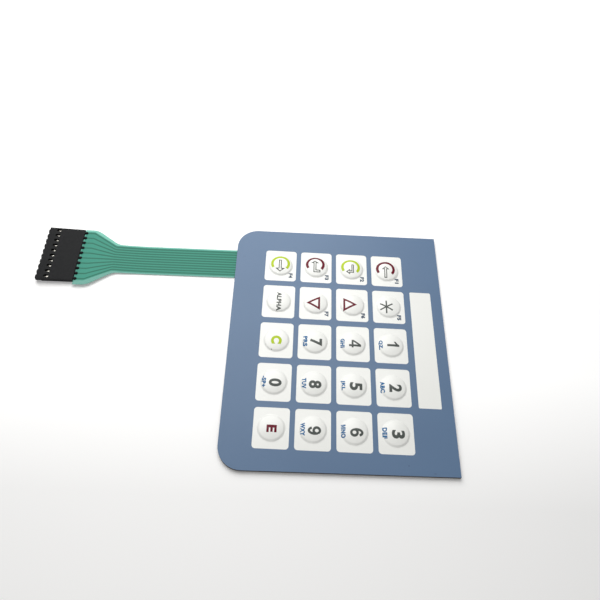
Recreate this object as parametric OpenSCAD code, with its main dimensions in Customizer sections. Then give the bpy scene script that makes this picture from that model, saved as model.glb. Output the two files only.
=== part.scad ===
// Membrane switch panel: a laminated keypad of twenty keys with a printed film tail and a ten-way socket.
// X runs across the panel, Y up it and Z out of the printed face. The origin is the centre of the rear face.
// The tail leaves the lower edge and runs towards -Y, and the socket lies level with the panel.

/* [Panel] */
// Width of the panel
panel_w = 101.9; // [100:0.1:110]
// Height of the panel
panel_h = 83.5; // [82:0.1:95]
// Radius of the two lower corners
corner_r = 8.5; // [4:0.5:10]
// Angle by which the cut sides lean off the print
side_lean = 0.64; // [0:0.02:1]
// Angle by which the cut lower edge leans off the print
lower_lean = 0.4; // [0:0.02:0.6]

/* [Layers] */
// Thickness of the paper release liner
liner_t = 0.12; // [0.08:0.01:0.2]
// Thickness of the rear adhesive
rear_adhesive_t = 0.15; // [0.1:0.01:0.25]
// Thickness of the circuit film
film_t = 0.15; // [0.1:0.01:0.2]
// Depth of the printed conductors in the face of the circuit film
print_t = 0.03; // [0.02:0.01:0.05]
// Thickness of the spacer that holds the snap domes
spacer_t = 0.5; // [0.45:0.05:0.8]
// Thickness of the front adhesive
front_adhesive_t = 0.15; // [0.1:0.01:0.2]
// Thickness of the embossed overlay film
overlay_t = 0.25; // [0.15:0.01:0.3]
// Thickness of the printed inks on the overlay
ink_t = 0.02; // [0.01:0.01:0.03]

/* [Keys] */
// Distance between key columns
key_pitch_x = 17.3; // [16.5:0.1:17.6]
// Distance between key rows
key_pitch_y = 14.6; // [14:0.1:15]
// Distance of the key block to the right of the panel's centre
keys_x = 1.6; // [0:0.1:2]
// Distance of the key block above the panel's centre
keys_y = -1.65; // [-2:0.05:0]
// Width of the white window round a key
window_w = 14.9; // [13:0.1:15.4]
// Height of the white window round a key
window_h = 12.7; // [12:0.1:13]
// Corner radius of a window
window_r = 1.2; // [0.5:0.1:3]
// Diameter of the embossed pillow on a key
pillow_d = 9.6; // [9:0.1:10]
// Height of the embossed pillow above the film
pillow_h = 1; // [0.8:0.05:1.3]
// Diameter of the metal snap dome under a key
snap_d = 8.4; // [7:0.1:8.6]
// Height of the metal snap dome
snap_h = 0.42; // [0.3:0.01:0.44]

/* [Name field] */
// Width of the blank name field
name_w = 49.6; // [30:0.1:60]
// Height of the blank name field
name_h = 8.4; // [5:0.1:9]
// Height of the field's centre above the panel's centre
name_y = 33.3; // [32.5:0.1:34]

/* [Tail] */
// Distance of the tail's centre from the panel's centre
tail_x = -33.4; // [-34:0.1:-32]
// Width of the straight tail
tail_w = 13.8; // [13:0.1:14.5]
// Width of the tail at the socket
flare_w = 27.2; // [26:0.1:28]
// Angle by which the tail leans off square
tail_lean = 1; // [0:0.1:1.5]
// Pitch of the conductors in the straight tail
trace_pitch = 1.24; // [1.2:0.01:1.3]
// Width of a conductor
trace_w = 0.62; // [0.4:0.01:0.7]
// Length of tail before it widens
neck_len = 47.6; // [30:0.1:60]
// Length over which it widens
flare_len = 13.2; // [9:0.1:14]

/* [Socket] */
// Distance between neighbouring ways
way_pitch = 2.54; // [2.54:0.01:2.54]
// Distance by which the socket sits left of the tail's middle
socket_off = 0.5; // [0:0.1:0.8]
// Width of the flat plate over the ways
plate_w = 25.2; // [24.8:0.1:25.8]
// Length of the flat plate
plate_len = 14.1; // [13.9:0.1:15]
// Height of the plate's face at the front
front_h = 2.9; // [2.8:0.1:3.2]
// Height of the plate's face at the rear
rear_h = 2.1; // [2:0.1:2.4]
// Diameter of the nose round the mouth of a way
nose_d = 2.3; // [2.2:0.05:2.5]

/* [Hidden] */
$fn = 96;
eps = 0.01;

// Names of the keys, from the top row down and from left to right
key_names = [
    ["f1", "star", "1", "2", "3"],
    ["f2", "up", "4", "5", "6"],
    ["f3", "down", "7", "8", "9"],
    ["f4", "alpha", "c", "0", "e"],
];
rows = len(key_names);
cols = len(key_names[0]);
ways = 10;

// Heights of the layers above the surface that the panel lies on
rear_adhesive_z = liner_t;
film_z = rear_adhesive_z + rear_adhesive_t;
spacer_z = film_z + film_t;
front_adhesive_z = spacer_z + spacer_t;
overlay_z = front_adhesive_z + front_adhesive_t;
face_z = overlay_z + overlay_t;

// The embossed pillow in section: a foot, a straight wall, a shoulder and a low crown
emboss_hole_r = pillow_d / 2 + 0.35;
wall_angle = 38;
foot_r = 0.6;
foot_steps = 3;
shoulder_r = 0.9;
shoulder_steps = 5;
crown_angle = 13;
crown_steps = 3;
adhesive_gap = 0.1;

// The snap dome and the pocket that keeps it in place
snap_t = 0.07;
snap_steps = 6;
snap_sphere_r = (pow(snap_d / 2, 2) + pow(snap_h, 2)) / (2 * snap_h);
pocket_d = 9;
vent_w = 1;

// Corner radius of the name field, and the steps that round a printed corner
name_r = 0.5;
corner_steps = 5;

// The contact land under a snap dome, and the lines that join the lands
land_outer_r = 4.2;
land_inner_r = 3.3;
land_gap = 1.8;
centre_pad_r = 1.3;
line_w = 0.6;
guard_inset = 1.8;
bus_y = -32;
bus_step = 1.3;
bus_x = -42.6;
bridge_len = 3;
bridge_w = 1.6;
guard_low_y = bus_y - cols * bus_step + line_w;

// The tail: lengths are measured from the panel's lower edge, down the tail
socket_axis_z = 1.3;
tail_rise = socket_axis_z - film_t / 2 - film_z;
rise_from = 34;
rise_to = 62;
rise_steps = 14;
flare_steps = 14;
flare_blend = 0.27;
fan_from = neck_len + 2.2;
fan_to = neck_len + 13;
fan_steps = 24;
fan_blend = 0.08;
tail_root = -2;
coat_from = -1.5;
coat_margin = 0.45;
coat_end = 63.8;

// The socket, on the same measure down the tail
plate_start = 64.2;
plate_end = plate_start + plate_len;
plate_low = 1;
body_w = plate_w - 0.8;
body_end = plate_end - 1.4;
nose_start = plate_end - 2.5;
nose_len = 0.75;
nose_round = 0.45;
nose_steps = 4;
socket_end = plate_end + nose_len;
finger_r = 0.65;
finger_start = plate_start - 1.3;
finger_steps = 5;

// The room for a contact, its mouth and its window
room_w = 1.5;
crimp_room_h = 0.9;
box_room_h = 1.2;
room_start = plate_start + 0.4;
room_end = socket_end - 0.8;
box_room_start = 68;
entry = 0.9;
lead_in_r = 0.65;
lead_in_len = 0.4;
window_at = 74.6;
window_slot_w = 1.2;
window_slot_len = 2;
slit_h = 0.26;
slit_end = 67.1;

// The film ends at the socket but for a tongue, as wide as this, which the socket takes in
tongue_w = 24.5;
tongue_gap = 0.05;
wide_end = plate_start - tongue_gap;
film_end = 66.7;

// The stamped contact
metal_t = 0.15;
box_w = 1.4;
box_h = 1.1;
box_start = 69;
box_end = room_end - 0.3;
strip_w = 1.1;
crimp_start = plate_start + 0.5;
crimp_len = 1.5;
crimp_tail = 0.6;
strip_lap = 1;
spring_w = 0.9;
spring_rise = [[0.3, -0.41], [6.2, -0.1], [7.7, -0.3]];
tine_w = 0.25;
tine_span = 1.3;
tang_w = 0.7;
tang_h = 0.2;
tang_len = 0.8;

// Printed shapes on the pillows, with their distance from the middle of the key
ring_r = 3.85;
ring_w = 0.8;
ring_opens = [-57, 48];
ring_at = [-0.5, -0.35];
sign_half_w = 2.95;
sign_h = 5.1;
sign_line = 0.6;
sign_at = [0.5, -0.85];

dome_names = [for (row = key_names) for (name = row) str("snap_dome_", name)];
contact_names = [for (i = [1 : ways]) str("contact_", i)];

// Centres of a key's row and column
function key_x(c) = keys_x + (c - (cols - 1) / 2) * key_pitch_x;
function key_y(r) = keys_y + ((rows - 1) / 2 - r) * key_pitch_y;

// A ramp from 0 to 1 with a rounded start and end, each over the share b of its length
function ramp(t, b) =
    t <= 0 ? 0
    : t >= 1 ? 1
    : t < b ? t * t / (2 * b * (1 - b))
    : t > 1 - b ? 1 - (1 - t) * (1 - t) / (2 * b * (1 - b))
    : (t - b / 2) / (1 - b);

function arc_points(x, y, r, from, steps) =
    [for (k = [0 : steps]) let (a = from + 90 * k / steps) [x + r * cos(a), y + r * sin(a)]];

function rounded_points(w, h, r) = concat(
    arc_points(w / 2 - r, h / 2 - r, r, 0, corner_steps),
    arc_points(r - w / 2, h / 2 - r, r, 90, corner_steps),
    arc_points(r - w / 2, r - h / 2, r, 180, corner_steps),
    arc_points(w / 2 - r, r - h / 2, r, 270, corner_steps)
);

function reversed(list) = [for (k = [len(list) - 1 : -1 : 0]) list[k]];

// Half the tail's width, and each conductor's distance from its middle, at a length s down the tail
function half_width(s) =
    (tail_w + (flare_w - tail_w) * ramp((s - neck_len) / flare_len, flare_blend)) / 2;
function fan_share(s) = ramp((s - fan_from) / (fan_to - fan_from), fan_blend);
function trace_u(i, s) =
    let (pitch = trace_pitch + (way_pitch - trace_pitch) * fan_share(s))
    (i - (ways - 1) / 2) * pitch - socket_off * fan_share(s);
function way_u(i) = (i - (ways - 1) / 2) * way_pitch - socket_off;

// How far the tail has risen from the panel's level to the socket's
function rise(s) = tail_rise * ramp((s - rise_from) / (rise_to - rise_from), 0.5);

flare_stations = concat(
    [tail_root],
    [for (k = [0 : flare_steps]) neck_len + flare_len * k / flare_steps],
    [wide_end]
);
fan_stations = concat(
    [tail_root],
    [for (k = [0 : fan_steps]) fan_from + (fan_to - fan_from) * k / fan_steps],
    [film_end]
);
rise_stations = concat(
    [-panel_h - eps],
    [for (k = [0 : rise_steps]) rise_from + (rise_to - rise_from) * k / rise_steps],
    [film_end + 1]
);

module at_key(r, c) {
    translate([key_x(c), key_y(r), 0]) children();
}

module at_all_keys() {
    for (r = [0 : rows - 1])
        for (c = [0 : cols - 1])
            at_key(r, c) children();
}

// Places what is drawn with its length along -Y, from the panel's lower edge down the leaning tail
module on_tail() {
    translate([tail_x, -panel_h / 2, 0])
        rotate([0, 0, tail_lean])
            children();
}

// A point on one of the two sides, and the middle of the round corner below it
function side_point(side, y) = [side * panel_w / 2 - tan(side_lean) * y, y];
function corner_middle(side) =
    let (across = side * (panel_w / 2 - corner_r / cos(side_lean)))
    let (up = corner_r / cos(lower_lean) - panel_h / 2)
    let (x = (across - tan(side_lean) * up) / (1 + tan(side_lean) * tan(lower_lean)))
    [x, up + tan(lower_lean) * x];
function corner_ends(side) = [
    corner_middle(side) + side * corner_r * [cos(side_lean), sin(side_lean)],
    corner_middle(side) + corner_r * [sin(lower_lean), -cos(lower_lean)],
];

// The panel's outline, with two sharp corners above and two round ones below. A corner's circle laps the
// sides by a hair, so that no sliver is left where they touch.
module panel_outline() {
    polygon(concat(
        [side_point(1, panel_h / 2), side_point(-1, panel_h / 2)],
        corner_ends(-1),
        reversed(corner_ends(1))
    ));
    for (side = [-1, 1]) translate(corner_middle(side)) circle(corner_r + eps);
}

module sheet(z, t) {
    translate([0, 0, z])
        linear_extrude(t)
            difference() {
                panel_outline();
                children();
            }
}

// A strip between two edges that are given as distances from the tail's middle
module tail_strip(stations, left, right) {
    on_tail()
        polygon(concat(
            [for (k = [0 : len(stations) - 1]) [left[k], -stations[k]]],
            reversed([for (k = [0 : len(stations) - 1]) [right[k], -stations[k]]])
        ));
}

module tail_outline() {
    tail_strip(
        flare_stations,
        [for (s = flare_stations) -half_width(s)],
        [for (s = flare_stations) half_width(s)]
    );
    on_tail()
        translate([-socket_off - tongue_w / 2, -film_end])
            square([tongue_w, film_end - fan_to]);
}

module trace_outline(i) {
    tail_strip(
        fan_stations,
        [for (s = fan_stations) trace_u(i, s) - trace_w / 2],
        [for (s = fan_stations) trace_u(i, s) + trace_w / 2]
    );
}

module coat_outline() {
    coat_stations = concat([coat_from], [for (k = [1 : len(fan_stations) - 2]) fan_stations[k]], [coat_end]);
    edge = trace_w / 2 + coat_margin;
    tail_strip(
        coat_stations,
        [for (s = coat_stations) trace_u(0, s) - edge],
        [for (s = coat_stations) trace_u(ways - 1, s) + edge]
    );
}

// Straight conductors from point to point, along X or along Y
module run(points) {
    for (k = [0 : len(points) - 2]) {
        low = [for (d = [0, 1]) min(points[k][d], points[k + 1][d]) - line_w / 2];
        high = [for (d = [0, 1]) max(points[k][d], points[k + 1][d]) + line_w / 2];
        translate(low) square(high - low);
    }
}

// The open ring that the dome's rim stands on, the pad under its middle and their two leads
module contact_land() {
    difference() {
        circle(land_outer_r);
        circle(land_inner_r);
        translate([-land_gap / 2, 0]) square([land_gap, land_outer_r + 1]);
    }
    circle(centre_pad_r);
    run([[0, 0], [0, key_pitch_y / 2]]);
    run([[(land_inner_r + land_outer_r) / 2, 0], [key_pitch_x / 2, 0]]);
}

// Lines between the keys: one for each row above its keys, one for each column right of its keys
function row_line_y(r) = key_y(r) + key_pitch_y / 2;
function col_line_x(c) = key_x(c) + key_pitch_x / 2;
function exit_x(i) = tail_x + trace_u(i, 0);

module row_line(r) {
    side_x = bus_x - (rows - 1 - r) * bus_step;
    low_y = bus_y - (rows - 1 - r) * bus_step;
    y = row_line_y(r);
    difference() {
        run([
            [key_x(cols - 1), y], [side_x, y], [side_x, low_y],
            [exit_x(r + 1), low_y], [exit_x(r + 1), -panel_h / 2]
        ]);
        if (r > 0)
            for (c = [0 : cols - 2])
                translate([col_line_x(c), y]) square([bridge_w, 2 * line_w], center = true);
    }
}

module col_line(c) {
    low_y = bus_y - c * bus_step;
    way = c + rows + 1;
    run([
        [col_line_x(c), key_y(0)], [col_line_x(c), low_y],
        [exit_x(way), low_y], [exit_x(way), -panel_h / 2]
    ]);
}

// The guard line that runs round the panel's edge to lead off static charge
module guard_line() {
    x = panel_w / 2 - guard_inset;
    y = panel_h / 2 - guard_inset;
    run([
        [exit_x(0), -panel_h / 2], [exit_x(0), guard_low_y],
        [-x, guard_low_y], [-x, y], [x, y], [x, guard_low_y]
    ]);
}

module panel_conductors() {
    at_all_keys() contact_land();
    for (r = [0 : rows - 1]) row_line(r);
    for (c = [0 : cols - 1]) col_line(c);
    guard_line();
}

module conductors() {
    panel_conductors();
    for (i = [0 : ways - 1]) trace_outline(i);
}

// Slots that the contacts' tines pierce through the tail
module tine_slots() {
    on_tail()
        for (i = [0 : ways - 1])
            for (side = [-1, 1])
                translate([way_u(i) + side * (tine_span - tine_w) / 2 - tine_w / 2, -crimp_start - crimp_len])
                    square([tine_w, crimp_len]);
}

// A layer of the circuit film between two heights in its thickness, flat at first and rising to the socket
module film_layer(low, high) {
    under = [for (s = rise_stations) [-panel_h / 2 - s, film_z + rise(s) + low]];
    over = [for (s = rise_stations) [-panel_h / 2 - s, film_z + rise(s) + high]];
    translate([-panel_w, 0, 0])
        rotate([90, 0, 90])
            linear_extrude(2 * panel_w)
                polygon(concat(under, reversed(over)));
}

module plan(h = 5) {
    translate([0, 0, -1]) linear_extrude(h) children();
}

// Places where a row's line steps over a column's line
module at_crossings() {
    for (r = [1 : rows - 1])
        for (c = [0 : cols - 2])
            translate([col_line_x(c), row_line_y(r), spacer_z]) children();
}

// The pillow's section from its foot to its middle, as distance from the axis, height and slope
foot_h = foot_r * (1 - cos(wall_angle));
foot_end_r = emboss_hole_r - foot_r * sin(wall_angle);
shoulder_h = shoulder_r * (cos(crown_angle) - cos(wall_angle));
shoulder_run = shoulder_r * (sin(wall_angle) - sin(crown_angle));
crown_slope = tan(crown_angle / 2);
wall_h = (pillow_h - foot_h - shoulder_h - (foot_end_r - shoulder_run) * crown_slope)
    / (1 - crown_slope / tan(wall_angle));
shoulder_x = foot_end_r - wall_h / tan(wall_angle);
shoulder_z = face_z + foot_h + wall_h;
crown_r = (shoulder_x - shoulder_run) / sin(crown_angle);
pillow_section = concat(
    [for (k = [0 : foot_steps])
        let (a = wall_angle * k / foot_steps)
        [emboss_hole_r - foot_r * sin(a), face_z + foot_r * (1 - cos(a)), a]],
    [for (k = [0 : shoulder_steps])
        let (a = wall_angle + (crown_angle - wall_angle) * k / shoulder_steps)
        let (x = shoulder_x - shoulder_r * (sin(wall_angle) - sin(a)))
        [x, shoulder_z + shoulder_r * (cos(a) - cos(wall_angle)), a]],
    [for (k = [1 : crown_steps]) let (a = crown_angle * (1 - k / crown_steps))
        [crown_r * sin(a), face_z + pillow_h - crown_r * (1 - cos(a)), a]]
);

// The overlay's pillow, in film of one thickness
module pillow_shell() {
    outer = [for (p = pillow_section) [p[0], p[1]]];
    inner = [for (p = pillow_section) [p[0] - overlay_t * sin(p[2]), p[1] - overlay_t * cos(p[2])]];
    rotate_extrude() polygon(concat(outer, reversed(inner)));
}

// Ink of one thickness on a pillow, in the outline that is drawn flat
module ink_on_pillow() {
    under = [for (p = pillow_section) [p[0], p[1]]];
    over = [for (p = under) [p[0], p[1] + ink_t]];
    intersection() {
        rotate_extrude() polygon(concat(under, reversed(over)));
        plan() children();
    }
}

module open_ring() {
    translate(ring_at)
        difference() {
            circle(ring_r);
            circle(ring_r - ring_w);
            polygon(concat([[0, 0]], [for (a = ring_opens) 2 * ring_r * [cos(a), sin(a)]]));
        }
}

// A triangle's outline with its tip up, or down where way is -1
module triangle_sign(way) {
    top = way * sign_h / 2;
    inner_r = sign_half_w * sign_h / (sign_half_w + norm([sign_half_w, sign_h]));
    middle = [0, way * inner_r - top];
    corners = [[-sign_half_w, -top], [sign_half_w, -top], [0, top]];
    translate(sign_at)
        difference() {
            polygon(corners);
            polygon([for (p = corners) middle + (p - middle) * (1 - sign_line / inner_r)]);
        }
}

module release_liner() {
    color("tan") sheet(0, liner_t);
}

module rear_adhesive() {
    color("gainsboro") sheet(rear_adhesive_z, rear_adhesive_t);
}

module circuit_film() {
    color("mediumaquamarine")
        difference() {
            intersection() {
                film_layer(0, film_t);
                plan() {
                    panel_outline();
                    tail_outline();
                }
            }
            intersection() {
                film_layer(film_t - print_t, film_t + 1);
                plan() {
                    conductors();
                    coat_outline();
                }
            }
            plan() tine_slots();
        }
}

module circuit_print() {
    color("silver")
        intersection() {
            film_layer(film_t - print_t, film_t);
            plan()
                difference() {
                    conductors();
                    tine_slots();
                }
        }
}

module tail_coat() {
    color("seagreen")
        intersection() {
            film_layer(film_t - print_t, film_t);
            plan()
                difference() {
                    coat_outline();
                    conductors();
                }
        }
}

module crossing_insulation() {
    color("seagreen")
        at_crossings()
            linear_extrude(print_t) square([bridge_w, bridge_w], center = true);
}

module crossing_jumpers() {
    color("silver")
        at_crossings()
            difference() {
                linear_extrude(2 * print_t) square([bridge_len, line_w], center = true);
                linear_extrude(print_t) square([bridge_w, bridge_w], center = true);
            }
}

module dome_spacer() {
    color("dimgray")
        difference() {
            sheet(spacer_z, spacer_t) {
                at_all_keys() circle(d = pocket_d);
                for (c = [0 : cols - 1])
                    translate([key_x(c) - vent_w / 2, key_y(rows - 1)])
                        square([vent_w, (rows - 1) * key_pitch_y]);
                translate([key_x(0), key_y(0) - vent_w / 2]) square([(cols - 1) * key_pitch_x, vent_w]);
            }
            at_crossings()
                translate([0, 0, -eps]) {
                    linear_extrude(print_t + eps) square([bridge_w, bridge_w], center = true);
                    linear_extrude(2 * print_t + eps) square([bridge_len, line_w], center = true);
                }
        }
}

// A round snap dome: a shallow cap whose rim stands on the open ring of its contact land
module snap_dome() {
    function cap_z(r) = sqrt(pow(snap_sphere_r, 2) - r * r) - snap_sphere_r + snap_h;
    rim_r = sqrt(pow(snap_sphere_r, 2) - pow(snap_sphere_r - snap_h + snap_t, 2));
    outer = [for (k = [0 : snap_steps]) let (r = snap_d / 2 * (1 - k / snap_steps)) [r, cap_z(r)]];
    inner = [for (k = [0 : snap_steps]) let (r = rim_r * (1 - k / snap_steps)) [r, cap_z(r) - snap_t]];
    color("lightsteelblue")
        translate([0, 0, spacer_z]) rotate_extrude() polygon(concat(outer, reversed(inner)));
}

module front_adhesive() {
    color("gainsboro")
        sheet(front_adhesive_z, front_adhesive_t)
            at_all_keys() circle(emboss_hole_r + adhesive_gap);
}

module overlay() {
    color("white") {
        sheet(overlay_z, overlay_t) at_all_keys() circle(emboss_hole_r);
        at_all_keys() pillow_shell();
    }
}

module panel_colour() {
    color("lightslategray")
        sheet(face_z, ink_t) {
            at_all_keys() polygon(rounded_points(window_w, window_h, window_r));
            translate([keys_x, name_y]) polygon(rounded_points(name_w, name_h, name_r));
        }
}

module ring_print_red() {
    color("firebrick")
        for (r = [0, 2])
            at_key(r, 0) ink_on_pillow() open_ring();
}

module ring_print_green() {
    color("yellowgreen")
        for (r = [1, 3])
            at_key(r, 0) ink_on_pillow() open_ring();
}

module arrow_sign_print() {
    color("firebrick") {
        at_key(1, 1) ink_on_pillow() triangle_sign(1);
        at_key(2, 1) ink_on_pillow() triangle_sign(-1);
    }
}

// What is drawn as length down the tail and height, made as wide as w across the tail
module across_tail(w) {
    translate([-w / 2, 0, 0]) rotate([90, 0, 90]) linear_extrude(w) children();
}

function slab_points(from, to, low, high) = [[-from, low], [-from, high], [-to, high], [-to, low]];

// The plate over all ways, which is a little lower at its rear, and the body under it
module plate_and_body() {
    across_tail(plate_w)
        polygon([
            [-plate_start, plate_low], [-plate_start, rear_h],
            [-plate_end, front_h], [-plate_end, plate_low]
        ]);
    across_tail(body_w) polygon(slab_points(plate_start, body_end, 0, plate_low + eps));
}

// A round nose at the mouth of each way, and a round finger at its rear that keeps the film straight
module nose_and_finger() {
    nose_r = nose_d / 2;
    rim = [for (k = [0 : nose_steps]) let (a = 90 * k / nose_steps)
        [nose_r - nose_round * (1 - cos(a)), socket_end - nose_round * (1 - sin(a))]];
    tip = [for (k = [0 : finger_steps]) let (a = 90 * k / finger_steps)
        [k == 0 ? 0 : finger_r * sin(a), finger_start + finger_r * (1 - cos(a))]];
    translate([0, 0, socket_axis_z])
        rotate([90, 0, 0]) {
            rotate_extrude() polygon(concat([[0, nose_start], [nose_r, nose_start]], rim, [[0, socket_end]]));
            rotate_extrude() polygon(concat(tip, [[finger_r, plate_start + eps], [0, plate_start + eps]]));
        }
}

module window_slot() {
    straight = window_slot_len - window_slot_w;
    translate([0, -window_at]) {
        square([window_slot_w, straight], center = true);
        for (end = [-1, 1]) translate([0, end * straight / 2]) circle(d = window_slot_w);
    }
}

module way_void() {
    across_tail(room_w) {
        polygon(slab_points(room_start, box_room_start + eps, -crimp_room_h / 2, crimp_room_h / 2));
        polygon(slab_points(box_room_start, room_end, -box_room_h / 2, box_room_h / 2));
    }
    across_tail(entry) polygon(slab_points(room_end - eps, socket_end + eps, -entry / 2, entry / 2));
    translate([0, -socket_end - eps, 0])
        rotate([-90, 0, 0]) cylinder(r1 = lead_in_r, r2 = entry / 2, h = lead_in_len);
    linear_extrude(front_h) window_slot();
}

module socket_housing() {
    color("#26272a")
        on_tail()
            difference() {
                union() {
                    translate([-socket_off, 0, 0]) plate_and_body();
                    for (i = [0 : ways - 1]) translate([way_u(i), 0, 0]) nose_and_finger();
                }
                translate([0, 0, socket_axis_z]) {
                    for (i = [0 : ways - 1]) translate([way_u(i), 0, 0]) way_void();
                    translate([-socket_off, 0, 0])
                        across_tail(tongue_w + 2 * tongue_gap)
                            polygon(slab_points(finger_start - 1, slit_end, -slit_h / 2, slit_h / 2));
                }
            }
}

// A strip of the contact's metal, bent along its length: points are length down the tail and height
module metal_strip(w, points) {
    across_tail(w)
        polygon(concat(
            [for (p = points) [-p[0], p[1]]],
            reversed([for (p = points) [-p[0], p[1] + metal_t]])
        ));
}

module contact() {
    floor_z = -box_h / 2;
    under_film = -film_t / 2 - metal_t;
    crimp_end = crimp_start + crimp_len;
    color("gainsboro")
        translate([0, 0, socket_axis_z]) {
            difference() {
                across_tail(box_w) polygon(slab_points(box_start, box_end, floor_z, -floor_z));
                across_tail(box_w - 2 * metal_t)
                    polygon(slab_points(box_start - 1, box_end + 1, floor_z + metal_t, -floor_z - metal_t));
            }
            metal_strip(strip_w, [
                [crimp_start, under_film], [crimp_end + crimp_tail, under_film],
                [box_start, floor_z], [box_start + strip_lap, floor_z]
            ]);
            metal_strip(spring_w, [for (p = spring_rise) [box_start + p[0], p[1]]]);
            for (side = [-1, 1])
                translate([side * (tine_span - tine_w) / 2, 0, 0])
                    across_tail(tine_w)
                        polygon(slab_points(crimp_start, crimp_end, under_film, -under_film));
            across_tail(tine_span) polygon(slab_points(crimp_start, crimp_end, film_t / 2, -under_film));
            tang_low = -floor_z - metal_t / 2;
            across_tail(tang_w)
                polygon(slab_points(window_at - tang_len, window_at, tang_low, tang_h - floor_z));
        }
}

release_liner();
rear_adhesive();
circuit_film();
circuit_print();
crossing_insulation();
crossing_jumpers();
tail_coat();
dome_spacer();
front_adhesive();
overlay();
panel_colour();
ring_print_red();
ring_print_green();
arrow_sign_print();
socket_housing();
for (r = [0 : rows - 1])
    for (c = [0 : cols - 1])
        at_key(r, c) snap_dome();
for (i = [0 : ways - 1])
    on_tail() translate([way_u(i), 0, 0]) contact();
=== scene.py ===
# %% [markdown]
# # A membrane switch panel
#
# This scene dresses a finished construction model: a thin laminated keypad with twenty keys, a flat printed
# tail and a black ten-way socket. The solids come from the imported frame, at their real size and in their real
# place. What is left to do here is the look: a smooth embossed film, the inks on it, and a finish for every
# layer, also for the ones that only show at the edge or when the panel is turned over.
#
# Everything is in metres. The panel is about as large as a hand and only a millimetre thick, so most values
# below are written in millimetres and multiplied by `MM` where they are used.

# %% Load the frame
import math
import bpy
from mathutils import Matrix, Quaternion, Vector


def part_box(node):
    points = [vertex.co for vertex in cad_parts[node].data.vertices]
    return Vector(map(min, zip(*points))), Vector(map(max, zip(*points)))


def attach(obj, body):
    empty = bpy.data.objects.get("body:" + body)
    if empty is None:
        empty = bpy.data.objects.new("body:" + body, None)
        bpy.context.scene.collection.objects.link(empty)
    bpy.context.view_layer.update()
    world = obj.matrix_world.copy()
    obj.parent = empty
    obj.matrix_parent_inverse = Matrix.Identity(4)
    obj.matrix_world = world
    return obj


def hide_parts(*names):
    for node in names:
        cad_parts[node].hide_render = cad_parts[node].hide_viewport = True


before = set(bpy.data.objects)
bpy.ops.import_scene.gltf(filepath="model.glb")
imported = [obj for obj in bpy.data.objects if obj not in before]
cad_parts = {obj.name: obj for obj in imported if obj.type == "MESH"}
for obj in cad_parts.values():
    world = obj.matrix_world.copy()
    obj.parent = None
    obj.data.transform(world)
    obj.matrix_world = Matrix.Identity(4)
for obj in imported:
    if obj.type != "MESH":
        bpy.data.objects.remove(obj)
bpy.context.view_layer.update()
MM = 0.001

# %% [markdown]
# ## Heights and places that the solids give
#
# The film, the inks and the signs all have to sit on the laminate, so their heights are read from the solids
# and not typed in again. Each snap dome lies under the middle of its key. That makes the twenty domes the
# best ruler for the key grid: the middle of a dome's box is the middle of a key.

# %% Read the key grid and the layer heights
KEY_ROWS = [
    ["f1", "star", "1", "2", "3"],
    ["f2", "up", "4", "5", "6"],
    ["f3", "down", "7", "8", "9"],
    ["f4", "alpha", "c", "0", "e"],
]


def key_middle(name):
    low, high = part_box("snap_dome_" + name)
    return Vector(((low.x + high.x) / 2, (low.y + high.y) / 2, 0))


key_at = {name: key_middle(name) for row in KEY_ROWS for name in row}
film_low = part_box("front_adhesive")[1].z
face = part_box("panel_colour")[0].z
ink_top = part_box("panel_colour")[1].z
pillow_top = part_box("overlay")[1].z
panel_low, panel_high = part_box("overlay")
film_thick = face - film_low
print(f"face at {face / MM:.2f} mm, film {film_thick / MM:.2f} mm")
print(f"pillows {(pillow_top - face) / MM:.2f} mm high")

# %% [markdown]
# ## The camera
#
# The photo looks down on the panel from its right-hand side, so the panel's top points to the right of the
# picture. A camera is easiest to understand as a place, a point that it looks at and a small roll about its
# own line of sight. `to_track_quat` turns the line of sight into a rotation, and the roll is added after it.

# %% Place the camera
camera_place = Vector((103.17, -20.63, 193.87)) * MM
looked_at = Vector((-17.68, -15.09, 0)) * MM
camera_roll = math.radians(5.235)
lens_mm = 34.2
sensor_mm = 36

bpy.ops.object.camera_add(location=camera_place)
camera = bpy.context.object
camera.name = "photo_camera"
camera.data.lens = lens_mm
camera.data.sensor_width = sensor_mm
camera.data.clip_start = 0.005
sight = (looked_at - camera_place).to_track_quat("-Z", "Y")
camera.rotation_euler = (sight @ Quaternion((0, 0, 1), camera_roll)).to_euler()
bpy.context.scene.camera = camera
print(f"camera {(camera_place - looked_at).length / MM:.0f} mm from the point that it looks at")

# %% [markdown]
# ## Floor and light
#
# The panel lies on plain white paper. White paper under a lamp is a little grey, while the photo's background
# is pure white on the tail's side, so the floor adds a little glow there that only the camera and reflections
# see. The light that falls on the object stays at a plain level and the floor keeps the object's soft shadow.
# Far out the floor glows up to white, so that a low camera sees no dark horizon. It lies a hair under the
# panel, because two faces in the very same place would fight in the picture.
#
# One soft lamp does most of the work. It stands close by, off the corner where the tail leaves the panel, so
# the panel is brightest there and darkens towards its far corner. It brightens the near flank of every pillow
# and leaves a soft crescent on the far one. A weak card on the other side keeps that side from going dead,
# and the pale world fills in the rest.

# %% Helpers for building node trees
def new_material(name):
    """A material with an empty Principled shader, and the three things that are needed to work on it."""
    material = bpy.data.materials.new(name)
    material.use_nodes = True
    tree = material.node_tree
    return material, tree, tree.nodes["Principled BSDF"]


def add_node(tree, kind, **settings):
    node = tree.nodes.new(kind)
    for key, value in settings.items():
        setattr(node, key, value)
    return node


def colour(red, green, blue):
    """A colour as a picture program writes it, 0 to 255, as the linear values that a shader wants."""
    def linear(value):
        share = value / 255
        return share / 12.92 if share <= 0.04045 else ((share + 0.055) / 1.055) ** 2.4
    return (linear(red), linear(green), linear(blue), 1)


def feed(tree, socket, value):
    """Sets a socket, or links it when the value is another node's output."""
    if isinstance(value, bpy.types.NodeSocket):
        tree.links.new(value, socket)
    else:
        socket.default_value = value


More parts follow.
